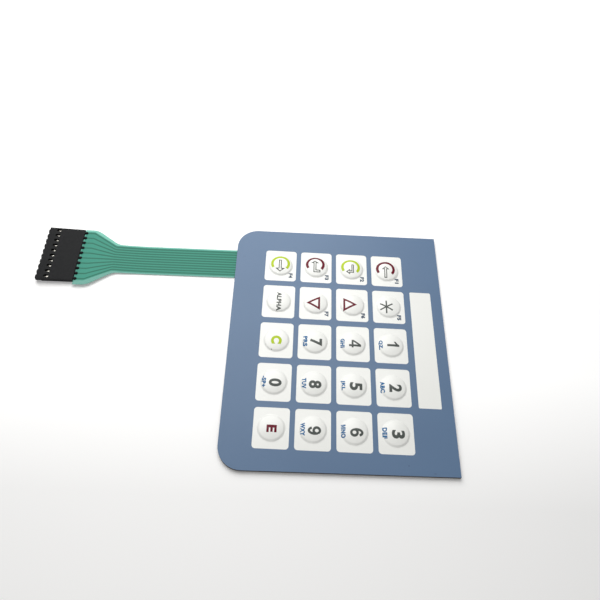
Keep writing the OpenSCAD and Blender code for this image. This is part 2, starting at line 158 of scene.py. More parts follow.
def feed_all(tree, node, **values):
    """Feeds several sockets. Keyword names stand for the sockets, with _ for a space."""
    for name, value in values.items():
        feed(tree, node.inputs[name.replace("_", " ")], value)


def mix_colours(tree, share, first, second):
    mix = add_node(tree, "ShaderNodeMix", data_type="RGBA")
    feed_all(tree, mix, Factor=share, A=first, B=second)
    return mix.outputs["Result"]


def calculate(tree, operation, first, second=0.0):
    node = add_node(tree, "ShaderNodeMath", operation=operation)
    feed(tree, node.inputs[0], first)
    feed(tree, node.inputs[1], second)
    return node.outputs["Value"]


def calculate_vector(tree, operation, first, second=(0, 0, 0)):
    """A Vector Math node. A difference is a vector. A length, distance or dot product is a value."""
    node = add_node(tree, "ShaderNodeVectorMath", operation=operation)
    feed(tree, node.inputs[0], first)
    feed(tree, node.inputs[1], second)
    return node.outputs["Vector" if operation == "SUBTRACT" else "Value"]


def spread_out(tree, value, start, end, low=0.0, high=1.0):
    """Turns the range from start to end into the range from low to high, and stops at its ends."""
    node = add_node(tree, "ShaderNodeMapRange")
    feed_all(tree, node, Value=value, From_Min=start, From_Max=end, To_Min=low, To_Max=high)
    return node.outputs["Result"]


def object_place(tree):
    return add_node(tree, "ShaderNodeTexCoord").outputs["Object"]


def coordinate(tree, axis, place):
    """The X, Y or Z of a place."""
    parts = add_node(tree, "ShaderNodeSeparateXYZ")
    feed(tree, parts.inputs["Vector"], place)
    return parts.outputs[axis]


print("node helpers are ready")

# %% Make the floor
floor_size = 3.0
floor_white = 0.93
tail_side_glow = 0.2
key_side_glow = 0.02
glow_falls_from = 10
glow_falls_to = 60
horizon_from = 170
horizon_to = 320
floor_gap = 0.02

bpy.ops.mesh.primitive_plane_add(size=floor_size, location=(0, 0, -floor_gap * MM))
floor = bpy.context.object
floor.name = "paper_floor"
paper, tree, shader = new_material("white_paper")
path = add_node(tree, "ShaderNodeLightPath")
seen = calculate(tree, "MAXIMUM", path.outputs["Is Camera Ray"], path.outputs["Is Glossy Ray"])
seen = calculate(tree, "MAXIMUM", seen, path.outputs["Is Transmission Ray"])
here = object_place(tree)
glow = spread_out(tree, coordinate(tree, "X", here), glow_falls_from * MM, glow_falls_to * MM,
                  low=tail_side_glow, high=key_side_glow)
from_middle = calculate_vector(tree, "LENGTH", here)
horizon = spread_out(tree, from_middle, horizon_from * MM, horizon_to * MM)
glow = calculate(tree, "MULTIPLY", seen, calculate(tree, "ADD", glow, horizon))
feed_all(tree, shader, Base_Color=(floor_white, floor_white, floor_white, 1), Roughness=0.9,
         Specular_IOR_Level=0.1, Emission_Color=(1, 1, 1, 1), Emission_Strength=glow)
floor.data.materials.append(paper)
print("floor made")

# %% Place the lamp and the world
def area_lamp(name, place, target, size, watts, tint):
    """A square soft lamp that faces its target."""
    bpy.ops.object.light_add(type="AREA", location=place)
    lamp = bpy.context.object
    lamp.name = name
    lamp.data.shape = "SQUARE"
    lamp.data.size = size
    lamp.data.energy = watts
    lamp.data.color = tint
    lamp.rotation_euler = (target - place).to_track_quat("-Z", "Y").to_euler()


panel_middle = (panel_low + panel_high) / 2
lamp_place = Vector((-200, -80, 260)) * MM
card_place = Vector((380, -20, 110)) * MM
area_lamp("window_side_lamp", lamp_place, panel_middle, size=0.35, watts=1.42, tint=(1, 0.995, 0.98))
area_lamp("far_side_card", card_place, panel_middle, size=0.25, watts=0.33, tint=(1, 0.98, 0.96))

# The camera sees a plain white world, and a weaker one lights the panel
world_fill = 0.26
world = bpy.context.scene.world or bpy.data.worlds.new("pale_studio")
bpy.context.scene.world = world
world.use_nodes = True
tree = world.node_tree
tree.nodes.clear()
path = add_node(tree, "ShaderNodeLightPath")
seen = calculate(tree, "MAXIMUM", path.outputs["Is Camera Ray"], path.outputs["Is Transmission Ray"])
background = add_node(tree, "ShaderNodeBackground")
strength = spread_out(tree, seen, 0.0, 1.0, low=world_fill, high=1.0)
feed_all(tree, background, Color=(1, 1, 1, 1), Strength=strength)
feed_all(tree, add_node(tree, "ShaderNodeOutputWorld"), Surface=background.outputs["Background"])
bpy.context.scene.view_settings.view_transform = "Standard"
print("one soft lamp, a weak card and a pale world")

# %% [markdown]
# ## Effects that several finishes share
#
# Film, moulded plastic, paper and metal differ in colour and gloss, but the same few effects make each of
# them believable: a fine grain, a slow drift of the colour over centimetres, a few specks of dust, and a
# smudge here and there. Each effect is a node group of its own, built once here. A group only puts out a
# colour or a mask, and the shader that uses it stays in the material, where an exporter can find it.

# %% Build the shared effects
def new_group(name, inputs, outputs):
    """An empty node group with named sockets: (name, kind, default) for inputs, (name, kind) for outputs."""
    group = bpy.data.node_groups.new(name, "ShaderNodeTree")
    for socket_name, kind, default in inputs:
        socket = group.interface.new_socket(socket_name, in_out="INPUT", socket_type=kind)
        socket.default_value = default
    for socket_name, kind in outputs:
        group.interface.new_socket(socket_name, in_out="OUTPUT", socket_type=kind)
    return group, add_node(group, "NodeGroupInput").outputs, add_node(group, "NodeGroupOutput").inputs


def noise(tree, scale, detail):
    node = add_node(tree, "ShaderNodeTexNoise")
    feed_all(tree, node, Vector=object_place(tree), Scale=scale, Detail=detail)
    return node.outputs["Fac"]


def build_fine_grain():
    """A velvet grain: fine noise, stretched to the full range, that drives roughness and bump."""
    group, given, made = new_group(
        "fine_grain", [("Grains per metre", "NodeSocketFloat", 3000.0)], [("Grain", "NodeSocketFloat")])
    grains = noise(group, given["Grains per metre"], detail=3)
    feed(group, made["Grain"], spread_out(group, grains, 0.3, 0.7))
    return group


def build_slow_drift():
    """A colour that drifts a little towards a second one over centimetres."""
    group, given, made = new_group(
        "slow_drift",
        [("Colour", "NodeSocketColor", (0.5, 0.5, 0.5, 1)),
         ("Drift colour", "NodeSocketColor", (0.4, 0.4, 0.4, 1)),
         ("Patches per metre", "NodeSocketFloat", 30.0)],
        [("Colour", "NodeSocketColor")])
    patches = noise(group, given["Patches per metre"], detail=1)
    feed(group, made["Colour"], mix_colours(group, patches, given["Colour"], given["Drift colour"]))
    return group


def build_dust_specks():
    """A mask of sparse specks: the middles of a few Voronoi cells, picked by the cells' own colour."""
    group, given, made = new_group(
        "dust_specks",
        [("Cells per metre", "NodeSocketFloat", 250.0), ("Speck size", "NodeSocketFloat", 0.06),
         ("Share of cells", "NodeSocketFloat", 0.04)],
        [("Mask", "NodeSocketFloat")])
    cells = add_node(group, "ShaderNodeTexVoronoi")
    feed_all(group, cells, Vector=object_place(group), Scale=given["Cells per metre"])
    near = calculate(group, "LESS_THAN", cells.outputs["Distance"], given["Speck size"])
    parts = add_node(group, "ShaderNodeSeparateColor")
    feed(group, parts.inputs["Color"], cells.outputs["Color"])
    picked = calculate(group, "LESS_THAN", parts.outputs["Red"], given["Share of cells"])
    feed(group, made["Mask"], calculate(group, "MULTIPLY", near, picked))
    return group


smudge_grains = 2500.0
smudge_fades_from = 1.5
smudge_fades_to = 0.8


def build_smudge():
    """A ragged mark of one size at one place, for dirt that lies in a known spot."""
    group, given, made = new_group(
        "smudge",
        [("Place", "NodeSocketVector", (0, 0, 0)), ("Radius", "NodeSocketFloat", 0.0005)],
        [("Mask", "NodeSocketFloat")])
    apart = calculate_vector(group, "DISTANCE", object_place(group), given["Place"])
    ragged = calculate(group, "MULTIPLY", noise(group, smudge_grains, detail=2), given["Radius"])
    reach = calculate(group, "ADD", apart, ragged)
    outer, inner = (calculate(group, "MULTIPLY", given["Radius"], share)
                    for share in (smudge_fades_from, smudge_fades_to))
    feed(group, made["Mask"], spread_out(group, reach, outer, inner))
    return group


fine_grain = build_fine_grain()
slow_drift = build_slow_drift()
dust_specks = build_dust_specks()
smudge = build_smudge()


def use_group(tree, group, **values):
    """Places a group in a material and gives the one thing that it puts out."""
    node = add_node(tree, "ShaderNodeGroup", node_tree=group)
    feed_all(tree, node, **values)
    return node.outputs[0]


print(f"{len(bpy.data.node_groups)} shared effects")

# %% [markdown]
# ## The finishes
#
# Most layers are thin sheets with one colour that drifts a little, a grain and a gloss. One function makes
# such a finish from a few values, and the layers that need more add their own nodes to it. The bump is driven
# by the same grain as the roughness, as on a real surface, where a rougher spot is also a rougher height.

# %% The finish that most layers share
def sheet_finish(name, main, drift, rough, grain, bump, rough_spread=0.1, bump_depth=0.01, **more):
    """A coloured surface with a grain, bump_depth millimetres deep.

    Any further values go to the shader's own sockets.
    """
    material, tree, shader = new_material(name)
    tint = use_group(tree, slow_drift, Colour=main, Drift_colour=drift)
    grains = use_group(tree, fine_grain, Grains_per_metre=grain)
    roughness = spread_out(tree, grains, 0.0, 1.0, low=rough - rough_spread, high=rough + rough_spread)
    relief = add_node(tree, "ShaderNodeBump")
    feed_all(tree, relief, Strength=bump, Distance=bump_depth * MM, Height=grains)
    feed_all(tree, shader, Base_Color=tint, Roughness=roughness, Normal=relief.outputs["Normal"], **more)
    return material, tree, shader, tint


def add_marks(tree, shader, tint, marks, mark_colour):
    """Lays dirt on a finish: smudges at known places, given as (place in mm, radius in mm)."""
    for place, radius in marks:
        spot = use_group(tree, smudge, Place=tuple(v * MM for v in place), Radius=radius * MM)
        tint = mix_colours(tree, spot, tint, mark_colour)
    feed(tree, shader.inputs["Base Color"], tint)


print("the shared finish is ready")

# %% Film and inks
dirt = colour(120, 112, 104)
ink_dirt = colour(66, 78, 104)
speck_strength = 0.5
film_marks = [((5.83, -25.19, 1.64), 0.3), ((3.75, -27.59, 1.6), 0.16)]
ink_height = 1.34
ink_marks = [((-37.4, 30.0), 0.14), ((3.51, -30.9), 0.2), ((47.3, 24.1), 0.24), ((49.6, 33.1), 0.25),
             ((49.6, 32.7), 0.2)]
ink_marks += [((-36.9, y), 0.13) for y in (-39.4, -39.0, -38.6)]  # a short scratch

white_film, tree, shader, tint = sheet_finish(
    "embossed_white_film", colour(239, 240, 237), colour(234, 235, 231), rough=0.36, rough_spread=0.08,
    grain=4200, bump=0.12, bump_depth=0.006, Coat_Weight=0.12, Coat_Roughness=0.25)
specks = use_group(tree, dust_specks, Cells_per_metre=190.0, Speck_size=0.035, Share_of_cells=0.03)
tint = mix_colours(tree, calculate(tree, "MULTIPLY", specks, speck_strength), tint, dirt)
add_marks(tree, shader, tint, film_marks, dirt)

blue_grey_ink, tree, shader, tint = sheet_finish(
    "blue_grey_ink", colour(94, 120, 151), colour(88, 113, 144), rough=0.42, grain=3600, bump=0.1,
    bump_depth=0.006, Specular_IOR_Level=0.35)
add_marks(tree, shader, tint, [((*place, ink_height), radius) for place, radius in ink_marks], ink_dirt)

# Near black: partly the cut edge's own dark colour, partly painted shade that stands in for the shadow along
# the panel's foot
cut_edge, *_ = sheet_finish(
    "cut_edge_with_painted_shade", colour(12, 13, 16), colour(9, 10, 12), rough=0.5, grain=5000, bump=0.2)
print(len(bpy.data.materials), "materials so far")

# %% Legend inks
def legend_ink(name, main, drift):
    """Screen ink: dense and even, with the fine grain of the film under it."""
    material, *_ = sheet_finish(
        name, main, drift, rough=0.4, rough_spread=0.06, grain=4200, bump=0.1, bump_depth=0.005,
        Specular_IOR_Level=0.2)
    return material


inks = {
    "grey": legend_ink("dark_grey_legend_ink", colour(75, 80, 77), colour(83, 88, 85)),
    "blue": legend_ink("blue_legend_ink", colour(16, 92, 144), colour(24, 100, 151)),
    "navy": legend_ink("navy_legend_ink", colour(42, 64, 88), colour(50, 72, 95)),
    "red": legend_ink("dark_red_legend_ink", colour(108, 2, 34), colour(99, 2, 30)),
    "green": legend_ink("yellow_green_legend_ink", colour(180, 202, 30), colour(170, 194, 27)),
}
print(sorted(inks))

# %% Layers under the film, and the tail
# These layers show only at the panel's edge. Their colours are partly their own and partly painted shade: they
# are darkened, the tan liner paper most of all, to stand in for the shadow along the panel's foot.
layer_finishes = {
    "front_adhesive": sheet_finish(
        "front_adhesive_edge", colour(19, 20, 23), colour(15, 16, 18), rough=0.35, grain=2400, bump=0.3),
    "dome_spacer": sheet_finish(
        "spacer_film_with_painted_shade", colour(16, 17, 20), colour(12, 13, 15), rough=0.5, grain=2800, bump=0.2),
    "rear_adhesive": sheet_finish(
        "rear_adhesive_edge", colour(17, 18, 19), colour(14, 14, 15), rough=0.35, grain=2400, bump=0.3),
    "release_liner": sheet_finish(
        "liner_paper_with_painted_shade", colour(78, 64, 47), colour(70, 57, 42), rough=0.55, rough_spread=0.15,
        grain=1800, bump=0.35, bump_depth=0.02),
    "tail_coat": sheet_finish(
        "green_insulating_coat", colour(60, 145, 126), colour(53, 137, 118), rough=0.5, grain=2600, bump=0.2,
        Specular_IOR_Level=0.2),
    "circuit_print": sheet_finish(
        "coated_silver_conductors", colour(42, 112, 92), colour(38, 106, 87), rough=0.5, grain=2600,
        bump=0.25, Specular_IOR_Level=0.2),
    "crossing_insulation": sheet_finish(
        "green_crossing_ink", colour(70, 150, 110), colour(62, 140, 102), rough=0.4, grain=2600, bump=0.2),
}
silver_track, *_ = sheet_finish(
    "bare_silver_ink", colour(176, 178, 180), colour(160, 163, 166), rough=0.42, grain=5200, bump=0.3,
    Metallic=0.6)
print(len(layer_finishes), "layer finishes")

# %% [markdown]
# ## The clear film of the circuit
#
# The film under the keys and the tail are one piece of clear polyester. Between the panel's dark layers it
# looks dark too. Below the panel's edge it shows its own mint tint, with painted light on top of it: lighter on
# the lamp's side, where light gets in under the film, and darker on the far side. Two masks do this: one goes
# across the tail, and the other starts a little past the panel's edge, so that the dark colour also lies on the
# tail's root as a painted shadow.

# %% Tint the circuit film
# The tail's root, its lean, half its width, and where the dark colour ends as measured up from the root: a
# little past the panel's edge, where it is a painted shadow on the tail
tail_root = Vector((-33.4, -41.75, 0)) * MM
tail_lean = math.radians(1)
tail_half = 6.9
painted_shadow_end = -0.45
painted_lit_mint = colour(112, 186, 168)
painted_shaded_mint = colour(96, 160, 146)
film_in_panel_and_painted_shadow = colour(18, 21, 23)

layer_finishes["circuit_film"] = sheet_finish(
    "mint_circuit_film", painted_lit_mint, painted_shaded_mint, rough=0.3, grain=3000, bump=0.06,
    Specular_IOR_Level=0.25)
_, tree, shader, _ = layer_finishes["circuit_film"]
from_root = calculate_vector(tree, "SUBTRACT", object_place(tree), tuple(tail_root))
rightwards = (math.cos(tail_lean), math.sin(tail_lean), 0)
across = calculate_vector(tree, "DOT_PRODUCT", from_root, rightwards)
painted_shade_across = spread_out(tree, across, -tail_half * MM, tail_half * MM)
# Painted light: the mint is lighter on the lamp's side of the tail and darker on the far side
tint = mix_colours(tree, painted_shade_across, painted_lit_mint, painted_shaded_mint)
# Dark inside the panel, where the film lies between dark layers, and for a short way past the panel's edge as a
# painted shadow where the tail leaves it
in_panel_and_painted_shadow = calculate(tree, "GREATER_THAN", coordinate(tree, "Y", from_root), painted_shadow_end * MM)
feed(tree, shader.inputs["Base Color"], mix_colours(tree, in_panel_and_painted_shadow, tint, film_in_panel_and_painted_shadow))
print("the circuit film changes its colour at the panel's edge")

# %% [markdown]
# ## Moulding and metal
#
# The socket is a black moulding with a satin skin. The crimp contacts in it are tinned bronze, and the domes
# under the keys are spring steel. Metal needs the shader's Metallic value, and its gloss then does the rest.

# %% Make the moulding and the metals
black_moulding, *_ = sheet_finish(
    "black_socket_moulding", colour(18, 19, 21), colour(23, 24, 26), rough=0.5, rough_spread=0.08,
    grain=1800, bump=0.15, bump_depth=0.02, Specular_IOR_Level=0.1)
tinned_bronze, *_ = sheet_finish(
    "tinned_bronze", colour(196, 194, 186), colour(180, 177, 168), rough=0.3, rough_spread=0.12,
    grain=2500, bump=0.15, Metallic=1.0)
spring_steel, *_ = sheet_finish(
    "spring_steel", colour(190, 192, 196), colour(176, 178, 184), rough=0.26, rough_spread=0.08,
    grain=3500, bump=0.1, Metallic=1.0)
print(len(bpy.data.materials), "materials in all")

# %% [markdown]
# ## Finishes for the solids
#
# The sheets, the circuit, the socket and its contacts have their true shapes already, so they stay, and only
# get a finish. The overlay and the printed signs are made again further down, because light on a smooth film
# shows every facet of a construction model.

# %% Dress the solids that stay
def dress(node_name, material):
    """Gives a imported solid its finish. Its mesh and its place aren't touched."""
    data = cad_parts[node_name].data
    data.materials.clear()
    data.materials.append(material)


for node_name, finish in layer_finishes.items():
    dress(node_name, finish[0])
dress("panel_colour", blue_grey_ink)
dress("crossing_jumpers", silver_track)
dress("socket_housing", black_moulding)
for node_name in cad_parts:
    if node_name.startswith("snap_dome_"):
        dress(node_name, spring_steel)
    if node_name.startswith("contact_"):
        dress(node_name, tinned_bronze)
print("the solids are dressed")

# %% [markdown]
# ## The embossed film
#
# The real overlay is one sheet of polyester that is pressed between warm dies, so that a low pillow rises
# over each key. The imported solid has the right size, but its pillows are built of a few cones, and each cone
# would show as a ring in the gloss. Here the sheet is built again as a smooth surface:
#
# 1. the panel's outline and twenty round holes are drawn as edges, and the surface between them is filled;
# 2. the profile of one pillow is drawn from its foot to its crown and spun about the key's axis;
# 3. the pillows are copied to the keys and sewn to the holes;
# 4. the whole surface gets the film's thickness at once.
#
# Doing the thickness last is what makes it look like pressed film: the wall is equally thick everywhere.

# %% Helpers for modelling by hand
def finish_editing():
    if bpy.context.object and bpy.context.object.mode != "OBJECT":
        bpy.ops.object.mode_set(mode="OBJECT")


def pick(*pieces):
    """Selects only these pieces and makes the first of them active."""
    finish_editing()
    bpy.ops.object.select_all(action="DESELECT")
    for piece in pieces:
        piece.select_set(True)
    bpy.context.view_layer.objects.active = pieces[0]


def edit(piece):
    """Opens a piece for editing with all of it selected."""
    pick(piece)
    bpy.ops.object.mode_set(mode="EDIT")
    bpy.ops.mesh.select_all(action="SELECT")


def move(piece, way):
    """Moves all of a piece's mesh and leaves its origin where it is."""
    edit(piece)
    bpy.ops.transform.translate(value=way)
    finish_editing()


def apply_all(piece):
    """Applies every modifier of a piece, from the top down."""
    pick(piece)
    for name in [modifier.name for modifier in piece.modifiers]:
        bpy.ops.object.modifier_apply(modifier=name)


def join(name, pieces):
    pick(*pieces)
    if len(pieces) > 1:
        bpy.ops.object.join()
    joined = bpy.context.object
    joined.name = name
    joined.data.name = name
    return joined


def drawn_line(name, points):
    """Draws a line of edges: one vertex, extruded from point to point."""
    bpy.ops.object.select_all(action="DESELECT")
    bpy.ops.mesh.primitive_plane_add(size=MM, location=(0, 0, 0))
    line = bpy.context.object
    line.name = name
    bpy.ops.object.mode_set(mode="EDIT")
    bpy.ops.mesh.merge(type="CENTER")
    bpy.ops.transform.translate(value=points[0])
    for start, end in zip(points, points[1:]):
        bpy.ops.mesh.extrude_vertices_move(TRANSFORM_OT_translate={"value": Vector(end) - Vector(start)})
    finish_editing()
    return line


def filled_outline(name, points):
    """A flat face inside a closed outline, given in millimetres."""
    shape = drawn_line(name, [Vector((x, y, 0)) * MM for x, y in points])
    edit(shape)
    bpy.ops.mesh.edge_face_add()
    finish_editing()
    return shape


def only_edges(shape):
    """Takes the faces away and leaves the outline."""
    edit(shape)
    bpy.ops.mesh.delete(type="ONLY_FACE")
    finish_editing()
    return shape


def filled_between(name, outline, hole):
    """A flat face with a hole in it, both given as outlines in millimetres."""
    shape = join(name, [only_edges(filled_outline(name, points)) for points in (outline, hole)])
    edit(shape)
    bpy.ops.mesh.fill(use_beauty=True)
    finish_editing()
    return shape


# Points that are closer than this become one
weld = 0.001 * MM
print("modelling helpers are ready")

# %% Draw one pillow and spin it
hole_r = 5.15
foot_r = 0.6
shoulder_r = 0.9
wall_angle = math.radians(38)
crown_angle = math.radians(13)
foot_steps, shoulder_steps, crown_steps = 6, 10, 6
pillow_sides = 72


def arc_steps(start, end, steps):
    return [start + (end - start) * step / steps for step in range(steps + 1)]


def pillow_profile():
    """Points from the pillow's foot to its middle: a foot, a straight wall, a shoulder and a low crown."""
    foot_high = foot_r * (1 - math.cos(wall_angle))
    foot_end = hole_r - foot_r * math.sin(wall_angle)
    shoulder_high = shoulder_r * (math.cos(crown_angle) - math.cos(wall_angle))
    shoulder_run = shoulder_r * (math.sin(wall_angle) - math.sin(crown_angle))
    crown_slope = math.tan(crown_angle / 2)
    high = (pillow_top - face) / MM
    # The wall takes the height that is left. The crown's own height depends on where the wall ends.
    wall_high = (high - foot_high - shoulder_high - (foot_end - shoulder_run) * crown_slope) / (
        1 - crown_slope / math.tan(wall_angle))
    wall_end = foot_end - wall_high / math.tan(wall_angle)
    crown_r = (wall_end - shoulder_run) / math.sin(crown_angle)
    points = []
    for angle in arc_steps(0, wall_angle, foot_steps):
        points.append((hole_r - foot_r * math.sin(angle), foot_r * (1 - math.cos(angle))))
    for angle in arc_steps(wall_angle, crown_angle, shoulder_steps):
        points.append((wall_end - shoulder_r * (math.sin(wall_angle) - math.sin(angle)),
                       foot_high + wall_high + shoulder_r * (math.cos(angle) - math.cos(wall_angle))))
    for angle in arc_steps(crown_angle, 0, crown_steps)[1:]:
        points.append((crown_r * math.sin(angle), high - crown_r * (1 - math.cos(angle))))
    return [Vector((across * MM, 0, face + up * MM)) for across, up in points]


pillow = drawn_line("pillow", pillow_profile())
edit(pillow)
bpy.ops.mesh.spin(steps=pillow_sides, angle=2 * math.pi, center=(0, 0, 0), axis=(0, 0, 1))
bpy.ops.mesh.select_all(action="SELECT")
bpy.ops.mesh.remove_doubles(threshold=weld)
bpy.ops.mesh.normals_make_consistent(inside=False)
finish_editing()
print(f"one pillow has {len(pillow.data.polygons)} faces")

# %% Fill the flat film between the outline and the holes
panel_wide = 101.9
panel_tall = 83.5
corner_r = 8.5
corner_steps = 16
side_lean = math.radians(0.64)
lower_lean = math.radians(0.4)


def upper_corner(side):
    return (side * panel_wide / 2 - math.tan(side_lean) * panel_tall / 2, panel_tall / 2)


def lower_corner(side, start, end):
    """Points round a lower corner. The edges lean a little, so the corner's middle is worked out."""
    across = side * (panel_wide / 2 - corner_r / math.cos(side_lean))
    up = corner_r / math.cos(lower_lean) - panel_tall / 2
    x = (across - math.tan(side_lean) * up) / (1 + math.tan(side_lean) * math.tan(lower_lean))
    y = up + math.tan(lower_lean) * x
    return [(x + corner_r * math.cos(angle), y + corner_r * math.sin(angle))
            for angle in arc_steps(start, end, corner_steps)]


down = lower_lean - math.pi / 2
sheet = filled_outline("embossed_film", [
    upper_corner(-1), *lower_corner(-1, side_lean - math.pi, down), *lower_corner(1, down, side_lean),
    upper_corner(1)])
move(only_edges(sheet), (0, 0, face))

rims = []
for middle in key_at.values():
    bpy.ops.object.select_all(action="DESELECT")
    bpy.ops.mesh.primitive_circle_add(vertices=pillow_sides, radius=hole_r * MM, fill_type="NOTHING",
                                      location=middle + Vector((0, 0, face)))
    bpy.ops.object.transform_apply(location=True, rotation=True, scale=True)
    rims.append(bpy.context.object)
sheet = join("embossed_film", [sheet, *rims])
edit(sheet)
bpy.ops.mesh.fill(use_beauty=True)
finish_editing()
print(f"the flat film has {len(sheet.data.polygons)} faces")

# %% Sew the pillows to the holes
def copy_of(piece, name):
    """A copy with a mesh of its own."""
    twin = piece.copy()
    twin.data = piece.data.copy()
    twin.name = name
    bpy.context.collection.objects.link(twin)
    return twin


pillows = []
for name, middle in key_at.items():
    twin = copy_of(pillow, "pillow_" + name)
    move(twin, middle)
    pillows.append(twin)
bpy.data.objects.remove(pillow)
film = join("embossed_film", [sheet, *pillows])
edit(film)
bpy.ops.mesh.remove_doubles(threshold=2 * weld)
bpy.ops.mesh.normals_make_consistent(inside=False)
finish_editing()
if film.data.polygons[0].normal.z < 0:
    edit(film)
    bpy.ops.mesh.flip_normals()
    finish_editing()
print(f"the sewn surface has {len(film.data.polygons)} faces")

# %% Give the film its thickness and its dark cut edge
upright_below = 0.1
rim_margin = 1
film_smooth_angle = math.radians(35)


def is_cut_edge(polygon):
    """Whether a face is on the film's cut edge: upright, below the film's face and away from the pillows."""
    below = Vector((polygon.center.x, polygon.center.y, 0))
    return abs(polygon.normal.z) < upright_below and polygon.center.z < face and all(
        (below - middle).length > (hole_r + rim_margin) * MM for middle in key_at.values())


thickness = film.modifiers.new("film_thickness", "SOLIDIFY")
thickness.thickness = film_thick
thickness.offset = -1
apply_all(film)
film.data.materials.clear()
film.data.materials.append(white_film)
film.data.materials.append(cut_edge)
for polygon in film.data.polygons:
    polygon.material_index = 1 if is_cut_edge(polygon) else 0
pick(film)
bpy.ops.object.shade_smooth_by_angle(angle=film_smooth_angle)
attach(film, "root")
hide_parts("overlay")
print(f"the film has {len(film.data.polygons)} faces, {film_low / MM:.2f} to {pillow_top / MM:.2f} mm")

# %% [markdown]
# ## Printing on a pillow
#
# Everything that is printed on the keys is drawn flat, as it would be for a printing screen, and the film is
# embossed afterwards, so the print follows the pillow. Three steps do the same here. A flat shape is cut into
# small cells, because a shape can only bend where it has points. A Shrinkwrap modifier drops it straight down
# onto the film, and it is lifted again by a hair, which keeps its top clear of the film where the film
# curves. A Solidify modifier then makes it as thick as a coat of ink.
#
# Each ink is one piece, because a printer lays each ink through one screen: grey for the digits, the arrows,
# the asterisk and ALPHA, blue for the small letters, navy for the function numbers, dark red for two rings,
# the triangles and the E, and yellow-green for two rings and the C.

# %% Helpers that print a flat shape on the film
ink_thick = ink_top - face
ink_lift = 0.006 * MM
drop_height = pillow_top + 2 * MM
cell_size = 0.3
fine_cell_size = 0.2
printed = {ink: [] for ink in inks}


def spans(piece):
    """The lowest and highest x of a piece's points, and the lowest and highest y."""
    xs = [vertex.co.x for vertex in piece.data.vertices]
    ys = [vertex.co.y for vertex in piece.data.vertices]
    return (min(xs), max(xs)), (min(ys), max(ys))


def cut_into_cells(piece, cell):
    """Cuts a flat shape along a square grid, so that it can bend over a pillow. cell is in millimetres."""
    edit(piece)
    for (low, high), normal in zip(spans(piece), ((1, 0, 0), (0, 1, 0))):
        cuts = int((high - low) / (cell * MM))
        for cut in range(1, cuts + 1):
            place = low + (high - low) * cut / (cuts + 1)
            bpy.ops.mesh.select_all(action="SELECT")
            bpy.ops.mesh.bisect(plane_co=Vector(normal) * place, plane_no=normal)
    finish_editing()


def lay_ink(piece, ink, at, cell=cell_size):
    """Moves a flat shape over its key and keeps it for printing."""
    cut_into_cells(piece, cell)
    move(piece, (at.x, at.y, drop_height))
    printed[ink].append(piece)


def at_key(name, right, up):
    """A point on a key, in millimetres from its middle."""
    return key_at[name] + Vector((right, up, 0)) * MM


print("printing helpers are ready")

# %% [markdown]
# ## Digits and letters
#
# Blender's own typeface is a plain sans serif. Its strokes are thinner than the bold ones on the keys, so
# each letter's outline is pushed outwards by `offset`, and the mesh is then fitted to the height and width
# that the legend has. A text object keeps its place in itself, so it becomes a mesh first and is moved only
# then.

# %% A helper that draws words
# Letters are drawn about a metre high, and their doubled points are joined at that size
letter_weld = 0.0005


def words(body, height, width, weight, spacing=1.0):
    """Flat words of an exact height and width in millimetres, with their middle at the origin."""
    bpy.ops.object.select_all(action="DESELECT")
    bpy.ops.object.text_add(location=(0, 0, 0))
    text = bpy.context.object
    text.data.body = body
    text.data.size = 1.0
    text.data.offset = weight
    text.data.space_character = spacing
    text.data.resolution_u = 5
    bpy.ops.object.convert(target="MESH")
    text = bpy.context.object
    text.name = "words"
    edit(text)
    bpy.ops.mesh.remove_doubles(threshold=letter_weld)
    finish_editing()
    (left, right), (bottom, top) = spans(text)
    middle = Vector(((left + right) / 2, (bottom + top) / 2, 0))
    scale = (width * MM / (right - left), height * MM / (top - bottom), 1)
    edit(text)
    bpy.ops.transform.translate(value=-middle)
    bpy.ops.transform.resize(value=scale, center_override=(0, 0, 0))
    finish_editing()
    return text


print("words can be drawn")

# %% Digits and large letters
digit_height = 4.65
digit_width = 3.05
digit_weight = 0.038
digit_right = 0.53
digit_up = {"2": 0.68, "3": 0.68, "5": 0.75, "7": 0.45, "8": 0.45, "0": 0.52}

for name, up in digit_up.items():
    lay_ink(words(name, digit_height, digit_width, digit_weight), "grey", at_key(name, digit_right, up))
lay_ink(words("C", height=4.1, width=3.45, weight=0.06), "green", at_key("c", right=0.34, up=0.03))
lay_ink(words("E", height=3.55, width=2.65, weight=0.045), "red", at_key("e", right=0.52, up=0.2))
alpha = words("ALPHA", height=1.85, width=8.5, weight=0.045, spacing=1.08)
lay_ink(alpha, "grey", at_key("alpha", right=0.3, up=0.12))
print(f"{len(printed['grey'])} grey legends so far")

# %% [markdown]
# ### Digits with outlines of their own
#
# The typeface's 1, 4, 6 and 9 have another build than those on the keys, and no change of width mends that.
# So these four are drawn. The 6 runs down a tall oval, round its bowl and back up the inside of its stem, and
# the 9 is the same outline turned half way round.

# %% Draw four digits
def oval(x, y, wide, high, start, end, steps=20):
    """Points round an oval from one angle to another, with its middle at x, y."""
    return [(x + wide * math.cos(angle), y + high * math.sin(angle))
            for angle in arc_steps(math.radians(start), math.radians(end), steps)]


